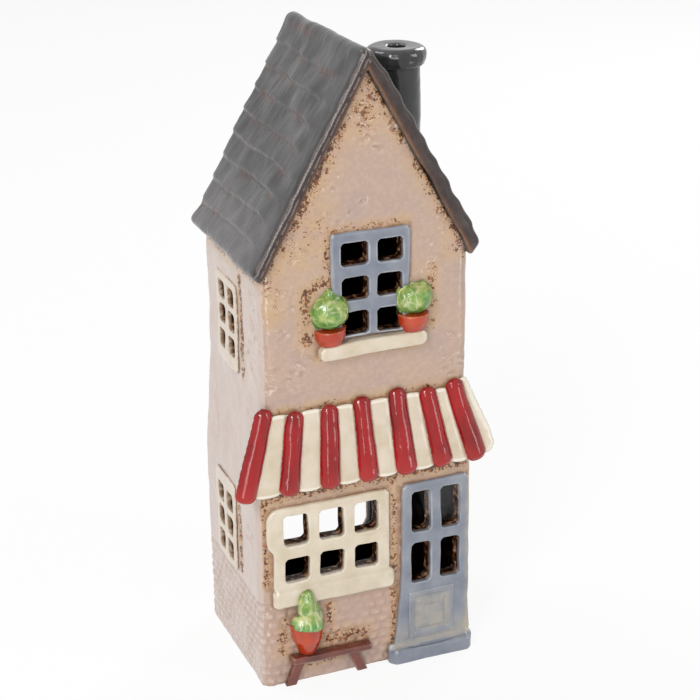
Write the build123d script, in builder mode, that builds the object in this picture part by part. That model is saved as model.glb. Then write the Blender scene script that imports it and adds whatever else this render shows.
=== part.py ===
from build123d import *
import os
from math import atan, cos, degrees, pi, radians, sin, tan

# A slab-built pottery shop house, open at the back for a tealight.
# Millimetres, +Z up. The front looks along -Y and the origin is the middle of the base.

# Storeys and walls
shop_width = 86.0  # outside width of the shop storey
upper_width = 80.0  # outside width of the upper storey
house_depth = 64.0  # front face to back face
shop_storey = 114.0  # base to the line where the upper storey starts
upper_storey = 48.7  # that line to the eaves
flare_height = 38.0  # the walls widen to the shop width over this height below that line
wall = 5.0  # thickness of the wall slabs
floor_thickness = 5.0
corner_round = 2.5  # upright outside corners
corner_share = 0.8  # most of the wall's thickness that such a round may take
fit = 0.15  # clearance round a plug in its opening

# Brick courses round the foot of the walls
brick_band = 35.0  # height of the bricked part
brick_courses = 10
brick_length = 7.2
mortar_width = 0.7
mortar_depth = 0.4

# Opening in the back for the tealight
rear_width = 51.0
rear_sill = 23.0  # height of its lower edge
rear_height = 72.0  # lower edge to the crown of the arch
rear_corner = 6.0  # rounds of the two lower corners

# Roof slabs
roof_pitch = 60.5  # degrees from level
roof_thickness = 4.8  # square to the slope, over the slate butts
ridge_round = 3.0
eave_reach = 3.5  # eave tip past the upper wall
eave_lap = 0.2  # underside past the upper wall
eave_round = 1.8
front_overhang = 2.5
rear_overhang = 3.0
rear_rake = 4.0  # the ridge reaches this much further back than the eaves
slate_courses = 9
slate_butt = 0.8  # step at the lower edge of a course
slate_width = 13.5
slate_joint = 0.8  # gap between two slates
slate_joint_depth = 0.7
verge_strip = 4.0  # plain strip along the front edge
verge_bevel = 1.6  # outer edge of that strip

# Chimney on the right slope
chimney_inset = 15.0  # middle of the stack in from the upper storey's right side
chimney_y = 0.0
chimney_drop = 7.0  # top of the cap below the ridge
stack_diameter = 18.0
cap_diameter = 22.4
cap_height = 7.0
cap_socket = 3.0  # depth of the cap's seat on the stack
cap_shoulder = 20.8  # width half-way round the cap's rounded edges
cap_face = 17.6  # width of the flat on its top
cap_shoulder_drop = 0.8  # the first of those widths below the top
cap_belly_drop = 2.4  # full width below the top
cap_sides = 20  # flat sides that make up its round
flue_diameter = 6.6

# Panes in every window and the door
pane_bevel = 1.0  # corners of the panes
plug_rim = 1.0  # clay left round the panes in a plug
plate_corner = 1.4  # corners of the frame plates, seen from the front
plate_bevel = 0.6  # front edges of the frame plates
small_corner = 0.8  # corners of a plate that meets a step or a sill

# Blue window over its sill
upper_sill_rise = 17.8  # underside of the sill above the storey line
upper_sill_width = 41.6
upper_sill_height = 5.4
upper_sill_depth = 4.0
upper_window_x = 1.2
upper_window_width = 30.2
upper_window_height = 39.6
upper_window_proud = 1.5
upper_left_stile = 3.7
upper_right_stile = 3.1
upper_head = 3.6
upper_foot = 0.9
upper_bar = 3.3
upper_rail = 4.5

# Flower pots on that sill
upper_pot_inset = 4.8  # middle of the left pot in from the sill's end
upper_pot_inset_right = 4.4  # the same at the right end
upper_pot_top = 12.0
upper_pot_bottom = 8.6
upper_pot_height = 6.2
pot_belly = 1.2  # how much wider a pot is half-way up than with straight sides
pot_sides = 16  # flat sides that make up the round of pots, bushes and plant
bush_width = 14.2
left_bush_height = 12.6
right_bush_height = 11.4
bush_waist = 10.8  # width where the bush leaves its pot
bush_belly_foot = 3.4  # lower end of its widest part
bush_belly_head = 7.6  # upper end of its widest part
bush_shoulder_width = 10.0  # width where the crown starts
bush_shoulder_drop = 1.8  # that level below the top
bush_tip_width = 1.6  # width at the very top
left_bush_tip = 2.4  # pointed tip on the left bush

# Awning
awning_drop = 2.0  # top edge below the storey line
awning_height = 30.0
awning_top_left = -43.6
awning_top_right = 39.2
awning_foot_left = -52.3
awning_foot_right = 49.8
awning_bow = 0.9  # hollow of its right edge
awning_top_depth = 1.0
awning_foot_depth = 4.4
awning_corner = 5.0  # rounds of the two lower corners
rib_inset = 3.3  # middle of the first rib from the left end
strip_top = 5.5  # middle of the last rib from the right end, at the top
strip_foot = 7.7  # the same at the foot
strip_rise = 3.0  # the strip at the right end stands this much above the rest of the top
rib_bow = 2.4  # the middle rib's foot stands this far right of an even spacing
rib_shifts = [0.0, -0.6, 0.0, 0.4, 2.0, 1.7, 0.0]  # rib tops right of an even spacing, laid by hand
rib_crests = [3.4, 0.7, 1.0, 2.3, 2.9, 1.5, 3.1]  # rib tops above the canopy's top edge
rib_top_width = 7.4
rib_foot_width = 8.4
rib_sink = 1.4  # middle of a rib's round behind the canopy's face
rib_end = 2.4  # length of the rounded ends
rib_hang = 0.6  # rib feet below the canopy
rib_sides = 16  # flat sides of a whole round, of which a rib is half

# Shop window over its sill
head_gap = 7.0  # wall between the awning and the heads of window and door
shop_sill_left = -38.6
shop_sill_right = 9.6
shop_sill_foot = 33.5
shop_sill_height = 8.2
shop_sill_depth = 3.2
shop_sill_corner = 1.4  # its corners, seen from the front
shop_sill_bevel = 1.0  # its front edges
shop_window_left = -40.4
shop_window_right = 8.0
shop_window_proud = 1.8
shop_window_step = 2.0  # the left edge steps in by this much
shop_step_drop = 17.0  # height of that step below the head
shop_corner = 5.0  # round of the upper left corner
shop_left_stile = 6.6
shop_right_stile = 4.6
shop_head = 3.4
shop_foot = 2.0
shop_bar = 4.3
shop_rail = 5.4
shop_lower_pane = 10.0  # the upper panes take the height that is left

# Door over its step
step_left = 7.6
step_right = 42.4
step_height = 6.0
step_depth = 4.8
step_round = 1.8  # its two outer corners
step_nosing = 0.9  # bevel along its upper front edge
door_left = 13.2
door_right = 40.4
door_spread = 1.4  # the foot is wider than the head by this much on the right
door_lean = 0.6  # the left edge leans out by this much down to the panel
door_kick = 3.2  # and by this much down to the foot
door_proud = 1.8
door_stile = 3.6
door_head = 3.6
door_bar = 4.3
door_rail = 4.5
door_panel_foot = 3.0  # panel above the step
door_panel_height = 20.0
door_panel_width = 18.6
door_lock_rail = 3.4  # rail between the panel and the panes
door_panel_proud = 0.9
door_panel_border = 2.2
door_panel_sunk = 0.6  # depth of the ground inside that border
field_width = 10.4
field_height = 11.6
field_proud = 0.9
field_border = 2.2
field_sunk = 0.5  # depth of the hollow in the field

# Bench with a potted plant
bench_left = -32.4
bench_right = -0.4
bench_height = 12.2
bench_thickness = 2.9
bench_depth = 4.6
bench_round = 0.9
leg_width = 4.2
leg_depth = 2.6
leg_splay = 4.0  # a foot stands this much further out than its top
left_leg_inset = 3.6  # middle of a leg's top in from the seat's end
right_leg_inset = 7.2
bench_pot_x = -25.4
bench_pot_top = 13.6
bench_pot_bottom = 6.4
bench_pot_height = 12.6
plant_width = 8.4
plant_height = 16.0
plant_foot = 12.0  # width where the plant leaves its pot
plant_shoulder_drop = 3.6  # full width below the top
plant_crown = 5.4  # width where the crown starts
plant_crown_drop = 1.0  # that level below the top
plant_neck_rise = 3.2  # height over which it narrows above the pot
plant_tip = 1.4  # width at the very top
arm_width = 3.4
arm_bevel = 1.2  # length of the narrowing at an arm's end
arm_tip = 1.8  # width at the very end
arm_sides = 12
arm_spread_left = 6.6  # tip of the left arm from the plant's middle
arm_spread_right = 4.6
arm_left_rise = 4.4
arm_right_rise = 6.6

# Windows in the left wall
side_window_y = 5.2  # middle of both windows, towards the back
side_window_width = 22.8
side_window_proud = 0.9
side_stile = 2.8
side_upper_lintel = 3.0  # clay above the upper window's panes
side_upper_sill = 5.4  # clay below them
side_lower_lintel = 5.4
side_lower_sill = 3.0
side_bar = 2.8
side_rail = 2.6
side_upper_foot = 4.2  # upper frame above the storey line
side_upper_head = 10.0  # upper frame below the eaves
side_lower_foot = 1.6  # lower frame above the bricks
side_lower_head = 2.6  # lower frame below the flare

# Levels and planes that the pieces share
flare_foot = shop_storey - flare_height
eave_height = shop_storey + upper_storey
pitch = radians(roof_pitch)
front = Plane.XZ.offset(house_depth / 2)
inner_front = Plane.XZ.offset(house_depth / 2 - wall)
back = Plane.XZ.offset(-house_depth / 2)
left_upper = Plane(origin=(-upper_width / 2, 0, 0), x_dir=(0, -1, 0), z_dir=(-1, 0, 0))
left_lower = Plane(origin=(-shop_width / 2, 0, 0), x_dir=(0, -1, 0), z_dir=(-1, 0, 0))
right_lower = Plane(origin=(shop_width / 2, 0, 0), x_dir=(0, 1, 0), z_dir=(1, 0, 0))
awning_top = shop_storey - awning_drop
awning_foot = awning_top - awning_height
head_height = awning_foot - head_gap
front_y = -house_depth / 2
chimney_x = upper_width / 2 - chimney_inset


def underside(x):
    """Height of the roof's underside, x away from the ridge line."""
    return eave_height + (upper_width / 2 - abs(x)) * tan(pitch)


def roof_top(x):
    """Height of the roof's upper face over the slate butts, before the ridge is rounded."""
    return underside(x) + roof_thickness / cos(pitch)


ridge_height = roof_top(0) - ridge_round * (1 / cos(pitch) - 1)


def write(piece, name):
    """Name a finished piece and write it as its own solid."""
    piece.part.label = name
    export_step(piece.part, f"parts/{name}.step")


def panes(left, foot, widths, heights, bar, rail):
    """Middle and size of each pane, row by row from the lower left one."""
    cells = []
    z = foot
    for height in heights:
        x = left
        for width in widths:
            cells.append((x + width / 2, z + height / 2, width, height))
            x += width + bar
        z += height + rail
    return cells


def plug(cells):
    """Middle and size of the wall opening round a set of panes."""
    left = min(x - width / 2 for x, z, width, height in cells) - plug_rim
    right = max(x + width / 2 for x, z, width, height in cells) + plug_rim
    foot = min(z - height / 2 for x, z, width, height in cells) - plug_rim
    head = max(z + height / 2 for x, z, width, height in cells) + plug_rim
    return (left + right) / 2, (foot + head) / 2, right - left, head - foot


def window(face, outline, corners, proud, cells, rounded=()):
    """A frame plate on a wall face, with a plug through the wall and panes cut through both."""
    x, z, width, height = plug(cells)
    with BuildPart() as frame:
        with BuildSketch(face) as plate:
            with BuildLine():
                Polyline(*outline, close=True)
            make_face()
            for corner, size in zip(outline, corners):
                cut = fillet if corner in rounded else chamfer
                cut(plate.vertices().sort_by_distance((*corner, 0))[0], size)
        extrude(amount=proud)
        chamfer(frame.faces().sort_by(Axis(face.origin, face.z_dir))[-1].edges(), plate_bevel)
        with BuildSketch(face):
            with Locations((x, z)):
                Rectangle(width - 2 * fit, height - 2 * fit)
        extrude(amount=-wall)
        with BuildSketch(face.offset(proud)) as glazing:
            for pane_x, pane_z, pane_width, pane_height in cells:
                with Locations((pane_x, pane_z)):
                    Rectangle(pane_width, pane_height)
            chamfer(glazing.vertices(), pane_bevel)
        extrude(amount=-proud - wall, mode=Mode.SUBTRACT)
    return frame


def turned(base, profile, sides):
    """A turned form with many flat sides along a plane's normal, from the height and width of its bands."""
    with BuildPart() as form:
        for (low, low_width), (high, high_width) in zip(profile, profile[1:]):
            wide_end = -base.offset(high) if high_width > low_width else base.offset(low)
            with BuildSketch(wide_end):
                RegularPolygon(max(low_width, high_width) / 2, sides)
            inward = abs(high_width - low_width) / 2 * cos(pi / sides)
            extrude(amount=high - low, taper=degrees(atan(inward / (high - low))))
    return form


def level_at(x, y, z):
    """A level drawing plane with its origin at a point."""
    return Plane(origin=(x, y, z))


def box_corners(left, right, foot, head):
    """Corners of an upright rectangle, from the lower left one."""
    return [(left, foot), (right, foot), (right, head), (left, head)]


os.makedirs("parts", exist_ok=True)

# Panes of the blue window, the shop window, the door and the left windows
upper_sill_foot = shop_storey + upper_sill_rise
upper_window_foot = upper_sill_foot + upper_sill_height
upper_window_left = upper_window_x - upper_window_width / 2
upper_glass_width = upper_window_width - upper_left_stile - upper_right_stile
upper_pane_width = (upper_glass_width - upper_bar) / 2
upper_pane_height = (upper_window_height - upper_head - upper_foot - 2 * upper_rail) / 3
upper_panes = panes(
    upper_window_left + upper_left_stile, upper_window_foot + upper_foot,
    [upper_pane_width] * 2, [upper_pane_height] * 3, upper_bar, upper_rail,
)

shop_window_foot = shop_sill_foot + shop_sill_height
shop_glass_width = shop_window_right - shop_window_left - shop_left_stile - shop_right_stile
shop_glass_height = head_height - shop_window_foot - shop_head - shop_foot
shop_pane_width = (shop_glass_width - 2 * shop_bar) / 3
shop_panes = panes(
    shop_window_left + shop_left_stile, shop_window_foot + shop_foot,
    [shop_pane_width] * 3, [shop_lower_pane, shop_glass_height - shop_rail - shop_lower_pane],
    shop_bar, shop_rail,
)

panel_foot = step_height + door_panel_foot
panel_head = panel_foot + door_panel_height
door_glass_foot = panel_head + door_lock_rail
door_pane_width = (door_right - door_left - 2 * door_stile - door_bar) / 2
door_pane_height = (head_height - door_head - door_glass_foot - door_rail) / 2
door_panes = panes(
    door_left + door_stile, door_glass_foot,
    [door_pane_width] * 2, [door_pane_height] * 2, door_bar, door_rail,
)


def side_panes(levels, sill, lintel):
    """Panes of a window in the left wall, between two levels. Its drawing runs towards the front."""
    foot, head = levels
    width = (side_window_width - 2 * side_stile - side_bar) / 2
    height = (head - foot - sill - lintel - 2 * side_rail) / 3
    left = -side_window_y - side_window_width / 2 + side_stile
    return panes(left, foot + sill, [width] * 2, [height] * 3, side_bar, side_rail)


side_upper_levels = (shop_storey + side_upper_foot, eave_height - side_upper_head)
side_lower_levels = (brick_band + side_lower_foot, flare_foot - side_lower_head)
side_upper_panes = side_panes(side_upper_levels, side_upper_sill, side_upper_lintel)
side_lower_panes = side_panes(side_lower_levels, side_lower_sill, side_lower_lintel)

# Outline that the front and the back share: shop storey, drawn-in upper storey and gable
house_outline = [
    (-shop_width / 2, 0),
    (shop_width / 2, 0),
    (shop_width / 2, flare_foot),
    (upper_width / 2, shop_storey),
    (upper_width / 2, eave_height),
    (0, underside(0)),
    (-upper_width / 2, eave_height),
    (-upper_width / 2, shop_storey),
    (-shop_width / 2, flare_foot),
]
course_height = brick_band / brick_courses
upright = 0.95  # share of an edge's run that is vertical on the wall corners, more than on the gable
corner_limit = min(corner_round, corner_share * wall)


def mortar_cells(left, right):
    """Middle and size of every mortar joint on a bricked face: bed joints and staggered uprights."""
    cells = []
    for course in range(brick_courses):
        cells.append(((left + right) / 2, (course + 1) * course_height, right - left, mortar_width))
        x = left + (brick_length / 2 if course % 2 else brick_length)
        while x < right - mortar_width:
            height = course_height - mortar_width
            cells.append((x, (course + 0.5) * course_height + mortar_width / 2, mortar_width, height))
            x += brick_length
    return cells


# Front wall
with BuildPart() as front_wall:
    with BuildSketch(front):
        with BuildLine():
            Polyline(*house_outline, close=True)
        make_face()
    extrude(amount=-wall)
    outer_edges = front_wall.faces().sort_by(Axis.Y)[0].edges()
    fillet(outer_edges.filter_by(lambda edge: abs(edge.tangent_at(0.5).Z) > upright), corner_limit)
    with BuildSketch(front):
        for cells in (upper_panes, shop_panes, door_panes):
            x, z, width, height = plug(cells)
            with Locations((x, z)):
                Rectangle(width, height)
    extrude(amount=-wall, mode=Mode.SUBTRACT)
    with BuildSketch(front):
        for x, z, width, height in mortar_cells(corner_limit - shop_width / 2, door_left - door_lean):
            with Locations((x, z)):
                Rectangle(width, height)
    extrude(amount=-mortar_depth, mode=Mode.SUBTRACT)
write(front_wall, "front_wall")

# Back wall with the arched tealight opening
with BuildPart() as back_wall:
    with BuildSketch(back):
        with BuildLine():
            Polyline(*house_outline, close=True)
        make_face()
    extrude(amount=wall)
    outer_edges = back_wall.faces().sort_by(Axis.Y)[-1].edges()
    fillet(outer_edges.filter_by(lambda edge: abs(edge.tangent_at(0.5).Z) > upright), corner_limit)
    with BuildSketch(back) as arch:
        with BuildLine():
            spring = rear_sill + rear_height - rear_width / 2
            Polyline(
                (rear_width / 2, spring), (rear_width / 2, rear_sill), (-rear_width / 2, rear_sill),
                (-rear_width / 2, spring),
            )
            ThreePointArc(
                (-rear_width / 2, spring), (0, rear_sill + rear_height), (rear_width / 2, spring)
            )
        make_face()
        fillet(arch.vertices().group_by(Axis.Y)[0], rear_corner)
    extrude(amount=wall, mode=Mode.SUBTRACT)
write(back_wall, "back_wall")

# Side walls between the front and the back
side_length = house_depth - 2 * wall
side_outline = [
    (-shop_width / 2, 0),
    (-shop_width / 2, flare_foot),
    (-upper_width / 2, shop_storey),
    (-upper_width / 2, eave_height),
    (-upper_width / 2 + wall, underside(upper_width / 2 - wall)),
    (-upper_width / 2 + wall, shop_storey),
    (-shop_width / 2 + wall, flare_foot),
    (-shop_width / 2 + wall, 0),
]

with BuildPart() as left_wall:
    with BuildSketch(inner_front):
        with BuildLine():
            Polyline(*side_outline, close=True)
        make_face()
    extrude(amount=-side_length)
    for face, cells in ((left_upper, side_upper_panes), (left_lower, side_lower_panes)):
        x, z, width, height = plug(cells)
        with BuildSketch(face):
            with Locations((x, z)):
                Rectangle(width, height)
        extrude(amount=-wall, mode=Mode.SUBTRACT)
    with BuildSketch(left_lower):
        for x, z, width, height in mortar_cells(-side_length / 2, side_length / 2):
            with Locations((x, z)):
                Rectangle(width, height)
    extrude(amount=-mortar_depth, mode=Mode.SUBTRACT)
write(left_wall, "left_wall")

with BuildPart() as right_wall:
    with BuildSketch(inner_front):
        with BuildLine():
            Polyline(*[(-x, z) for x, z in side_outline], close=True)
        make_face()
    extrude(amount=-side_length)
    with BuildSketch(right_lower):
        for x, z, width, height in mortar_cells(-side_length / 2, side_length / 2):
            with Locations((x, z)):
                Rectangle(width, height)
    extrude(amount=-mortar_depth, mode=Mode.SUBTRACT)
write(right_wall, "right_wall")

# Floor inside the four walls
with BuildPart() as floor_slab:
    with BuildSketch(Plane.XY):
        Rectangle(shop_width - 2 * wall, side_length)
    extrude(amount=floor_thickness)
write(floor_slab, "floor_slab")

# Roof slabs: slate courses stepped up each slope behind a plain verge, with staggered gaps between slates
eave_tip = Vector(upper_width / 2 + eave_reach, roof_top(upper_width / 2 + eave_reach))
ridge_tangent = Vector(ridge_round * sin(pitch), ridge_height - ridge_round + ridge_round * cos(pitch))
up_slope = (ridge_tangent - eave_tip).normalized()
out_of_slope = Vector(sin(pitch), cos(pitch))
course_length = (ridge_tangent - eave_tip).length / slate_courses
roof_length = front_overhang + house_depth + rear_overhang + rear_rake
rake_plane = Plane(
    origin=(0, house_depth / 2 + rear_overhang, eave_height),
    x_dir=(1, 0, 0),
    z_dir=(0, ridge_height - eave_height, -rear_rake),
)
half_turn = pitch / 2  # the ridge round's middle, measured from straight up
ridge_middle = (
    ridge_round * sin(half_turn),
    ridge_height - ridge_round + ridge_round * cos(half_turn),
)
slope_line = [eave_tip]
for course in range(1, slate_courses):
    butt = eave_tip + up_slope * (course * course_length)
    slope_line.extend([butt - out_of_slope * slate_butt, butt])
slope_line.append(ridge_tangent)
lap_x = upper_width / 2 + eave_lap
verge = Plane.XZ.offset(house_depth / 2 + front_overhang)


def slope_axis(side):
    """A line square to one slope of the roof."""
    return Axis((0, 0, 0), (side * out_of_slope.X, 0, out_of_slope.Y))


def roof_slab(side):
    """One slope of the roof: side is -1 for the left slope and 1 for the right one."""
    with BuildPart() as slab:
        for line, length in (([eave_tip, ridge_tangent], verge_strip), (slope_line, roof_length)):
            with BuildSketch(verge) as section:
                with BuildLine():
                    Polyline(*[(side * point.X, point.Y) for point in line])
                    ThreePointArc(
                        (side * ridge_tangent.X, ridge_tangent.Y),
                        (side * ridge_middle[0], ridge_middle[1]),
                        (0, ridge_height),
                    )
                    Polyline(
                        (0, ridge_height), (0, underside(0)), (side * lap_x, underside(lap_x)),
                        (side * eave_tip.X, eave_tip.Y),
                    )
                make_face()
                fillet(section.vertices().sort_by(Axis.X)[-1 if side > 0 else 0], eave_round)
            extrude(amount=-length)
        split(bisect_by=rake_plane, keep=Keep.BOTTOM)
        verge_edges = slab.faces().sort_by(Axis.Y)[0].edges()
        chamfer(verge_edges.sort_by(slope_axis(side))[-1], verge_bevel)
        slope = Plane(
            origin=(side * eave_tip.X, front_y - front_overhang, eave_tip.Y),
            x_dir=(0, side, 0),
            z_dir=(side * out_of_slope.X, 0, out_of_slope.Y),
        )
        with BuildSketch(slope):
            for course in range(slate_courses - 1):
                first = verge_strip + (slate_width if course % 2 else slate_width / 2)
                for slate in range(int((roof_length - first) // slate_width) + 1):
                    along = side * (first + slate * slate_width)
                    with Locations((along, (course + 0.5) * course_length)):
                        Rectangle(slate_joint, course_length)
        extrude(amount=-slate_joint_depth, mode=Mode.SUBTRACT)
        if side > 0:
            with BuildSketch(Plane.XY.offset(eave_height)):
                with Locations((chimney_x, chimney_y)):
                    Circle(stack_diameter / 2 + fit)
            extrude(amount=ridge_height - eave_height, mode=Mode.SUBTRACT)
    return slab


roof_slab_left = roof_slab(-1)
write(roof_slab_left, "roof_slab_left")
roof_slab_right = roof_slab(1)
write(roof_slab_right, "roof_slab_right")

# Chimney: the stack passes through the right slab and ends flush with its underside
cap_top = ridge_height - chimney_drop
stack_top = cap_top - cap_height + cap_socket
with BuildPart() as chimney_stack:
    with BuildSketch(Plane.XY.offset(eave_height)):
        with Locations((chimney_x, chimney_y)):
            Circle(stack_diameter / 2)
            Circle(flue_diameter / 2, mode=Mode.SUBTRACT)
    extrude(amount=stack_top - eave_height)
    split(
        bisect_by=Plane(origin=(0, 0, underside(0)), z_dir=(sin(pitch), 0, cos(pitch))),
        keep=Keep.TOP,
    )
write(chimney_stack, "chimney_stack")

with BuildPart() as chimney_cap:
    cap_profile = [
        (0, cap_shoulder), (cap_belly_drop, cap_diameter), (cap_height - cap_belly_drop, cap_diameter),
        (cap_height - cap_shoulder_drop, cap_shoulder), (cap_height, cap_face),
    ]
    add(turned(level_at(chimney_x, chimney_y, cap_top - cap_height), cap_profile, cap_sides).part)
    with BuildSketch(Plane.XY.offset(cap_top)):
        with Locations((chimney_x, chimney_y)):
            Circle(flue_diameter / 2)
    extrude(amount=-cap_height, mode=Mode.SUBTRACT)
    with BuildSketch(Plane.XY.offset(stack_top)):
        with Locations((chimney_x, chimney_y)):
            Circle(stack_diameter / 2 + fit)
    extrude(amount=-cap_socket, mode=Mode.SUBTRACT)
write(chimney_cap, "chimney_cap")

# Awning: a canopy that spreads and slopes out to its foot, with a fan of tapered half-round ribs on its face
rib_rake = (awning_foot_depth - awning_top_depth) / awning_height
strip_head = awning_top + strip_rise
strip_x = awning_top_right - strip_top
with BuildPart() as awning_canopy:
    with BuildSketch(front) as spread:
        with BuildLine():
            ThreePointArc(
                (awning_foot_right, awning_foot),
                ((awning_foot_right + awning_top_right) / 2 - awning_bow, (awning_foot + strip_head) / 2),
                (awning_top_right, strip_head),
            )
            Polyline(
                (awning_top_right, strip_head), (strip_x, strip_head), (strip_x, awning_top),
                (awning_top_left, awning_top), (awning_foot_left, awning_foot),
                (awning_foot_right, awning_foot),
            )
        make_face()
        fillet(spread.vertices().group_by(Axis.Y)[0], awning_corner)
    extrude(amount=awning_foot_depth)
    with BuildSketch(Plane.YZ):
        with BuildLine():
            Polyline(
                (front_y, strip_head), (front_y - awning_top_depth + strip_rise * rib_rake, strip_head),
                (front_y - awning_foot_depth, awning_foot), (front_y, awning_foot), close=True,
            )
        make_face()
    extrude(amount=awning_foot_right - awning_foot_left, both=True, mode=Mode.INTERSECT)
write(awning_canopy, "awning_canopy")

canopy_face = Plane(
    origin=(0, front_y - awning_top_depth, awning_top), x_dir=(1, 0, 0), z_dir=(0, -1, rib_rake)
)
rib_end_turns = [radians(20), radians(50), radians(90)]  # bands of the rounded rib ends, from the tip
rib_foot_z = awning_foot - rib_hang + rib_end
first_top = awning_top_left + rib_inset
first_foot = awning_foot_left + rib_inset
for rib, (shift, crest) in enumerate(zip(rib_shifts, rib_crests)):
    share = rib / (len(rib_crests) - 1)
    rib_top_z = awning_top + crest - rib_end
    top_x = first_top + share * (strip_x - first_top) + shift
    foot_x = first_foot + share * (awning_foot_right - strip_foot - first_foot)
    foot_x += 4 * rib_bow * share * (1 - share)
    top_depth = awning_top_depth + (awning_top - rib_top_z) * rib_rake
    foot_depth = awning_top_depth + (awning_top - rib_foot_z) * rib_rake
    rib_top = Vector(top_x, front_y - top_depth, rib_top_z) - canopy_face.z_dir * rib_sink
    rib_foot = Vector(foot_x, front_y - foot_depth, rib_foot_z) - canopy_face.z_dir * rib_sink
    rib_length = (rib_foot - rib_top).length
    along = (rib_foot - rib_top).normalized()
    rib_profile = [(-rib_end * cos(turn), rib_top_width * sin(turn)) for turn in rib_end_turns]
    for turn in reversed(rib_end_turns):
        rib_profile.append((rib_length + rib_end * cos(turn), rib_foot_width * sin(turn)))
    with BuildPart() as awning_rib:
        rib_base = Plane(origin=rib_top, x_dir=along.cross(canopy_face.z_dir), z_dir=along)
        add(turned(rib_base, rib_profile, rib_sides).part)
        split(bisect_by=canopy_face, keep=Keep.TOP)
    write(awning_rib, f"awning_rib_{rib + 1}")

# Blue window, its sill and its two pots
with BuildPart() as upper_window_sill:
    with BuildSketch(front) as sill:
        with Locations((upper_window_x, upper_sill_foot + upper_sill_height / 2)):
            Rectangle(upper_sill_width, upper_sill_height)
        chamfer(sill.vertices(), plate_corner)
    extrude(amount=upper_sill_depth)
    chamfer(upper_window_sill.faces().sort_by(Axis.Y)[0].edges(), plate_bevel)
write(upper_window_sill, "upper_window_sill")

upper_window_frame = window(
    front,
    box_corners(
        upper_window_left, upper_window_left + upper_window_width,
        upper_window_foot, upper_window_foot + upper_window_height,
    ),
    [small_corner, small_corner, plate_corner, small_corner], upper_window_proud, upper_panes,
)
write(upper_window_frame, "upper_window_frame")


def flower_pot(x, foot, top_width, bottom_width, height, neighbours):
    """A half-round pot against the front wall, with bulging sides, trimmed to the pieces behind it."""
    with BuildPart() as pot:
        belly = (bottom_width + top_width) / 2 + pot_belly
        profile = [(0, bottom_width), (height / 2, belly), (height, top_width)]
        add(turned(level_at(x, front_y, foot), profile, pot_sides).part)
        split(bisect_by=front, keep=Keep.TOP)
        for neighbour in neighbours:
            add(neighbour.part, mode=Mode.SUBTRACT)
    return pot


def bush(x, foot, height, tip, neighbours):
    """A half-round clipped bush on a pot, with an optional pointed tip."""
    with BuildPart() as leaves:
        profile = [
            (0, bush_waist), (bush_belly_foot, bush_width), (bush_belly_head, bush_width),
            (height - bush_shoulder_drop, bush_shoulder_width), (height + tip, bush_tip_width),
        ]
        add(turned(level_at(x, front_y, foot), profile, pot_sides).part)
        split(bisect_by=front, keep=Keep.TOP)
        for neighbour in neighbours:
            add(neighbour.part, mode=Mode.SUBTRACT)
    return leaves


left_pot_x = upper_window_x - upper_sill_width / 2 + upper_pot_inset
right_pot_x = upper_window_x + upper_sill_width / 2 - upper_pot_inset_right
for side_name, pot_x, height, tip in (
    ("left", left_pot_x, left_bush_height, left_bush_tip), ("right", right_pot_x, right_bush_height, 0),
):
    upper_pot = flower_pot(
        pot_x, upper_window_foot, upper_pot_top, upper_pot_bottom, upper_pot_height, [upper_window_frame]
    )
    write(upper_pot, f"upper_pot_{side_name}")
    upper_bush = bush(pot_x, upper_window_foot + upper_pot_height, height, tip, [upper_window_frame])
    write(upper_bush, f"upper_bush_{side_name}")

# Shop window, whose left edge steps in below the middle, on its sill
with BuildPart() as shop_window_sill:
    with BuildSketch(front) as sill:
        with Locations(((shop_sill_left + shop_sill_right) / 2, shop_sill_foot + shop_sill_height / 2)):
            Rectangle(shop_sill_right - shop_sill_left, shop_sill_height)
        chamfer(sill.vertices(), shop_sill_corner)
    extrude(amount=shop_sill_depth)
    chamfer(shop_window_sill.faces().sort_by(Axis.Y)[0].edges(), shop_sill_bevel)
write(shop_window_sill, "shop_window_sill")

step_z = head_height - shop_step_drop
shop_outline = [
    (shop_window_left + shop_window_step, shop_window_foot),
    (shop_window_right, shop_window_foot),
    (shop_window_right, head_height),
    (shop_window_left, head_height),
    (shop_window_left, step_z + shop_window_step / 2),
    (shop_window_left + shop_window_step, step_z - shop_window_step / 2),
]
shop_window_frame = window(
    front, shop_outline,
    [small_corner, small_corner, plate_corner, shop_corner, small_corner, small_corner],
    shop_window_proud, shop_panes, rounded=[(shop_window_left, head_height)],
)
write(shop_window_frame, "shop_window_frame")

# Door with a fielded panel, on its step
with BuildPart() as door_step:
    with BuildSketch(Plane.XY):
        with Locations(((step_left + step_right) / 2, front_y - step_depth / 2)):
            Rectangle(step_right - step_left, step_depth)
    extrude(amount=step_height)
    fillet(door_step.edges().filter_by(Axis.Z).group_by(Axis.Y)[0], step_round)
    chamfer(door_step.faces().sort_by(Axis.Z)[-1].edges().group_by(Axis.Y)[0], step_nosing)
write(door_step, "door_step")

door_outline = [
    (door_left - door_kick, step_height),
    (door_right + door_spread, step_height),
    (door_right, head_height),
    (door_left, head_height),
    (door_left - door_lean, panel_head),
]
shop_door = window(
    front, door_outline, [small_corner, small_corner, plate_corner, plate_corner, plate_corner],
    door_proud, door_panes,
)
write(shop_door, "shop_door")

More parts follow.
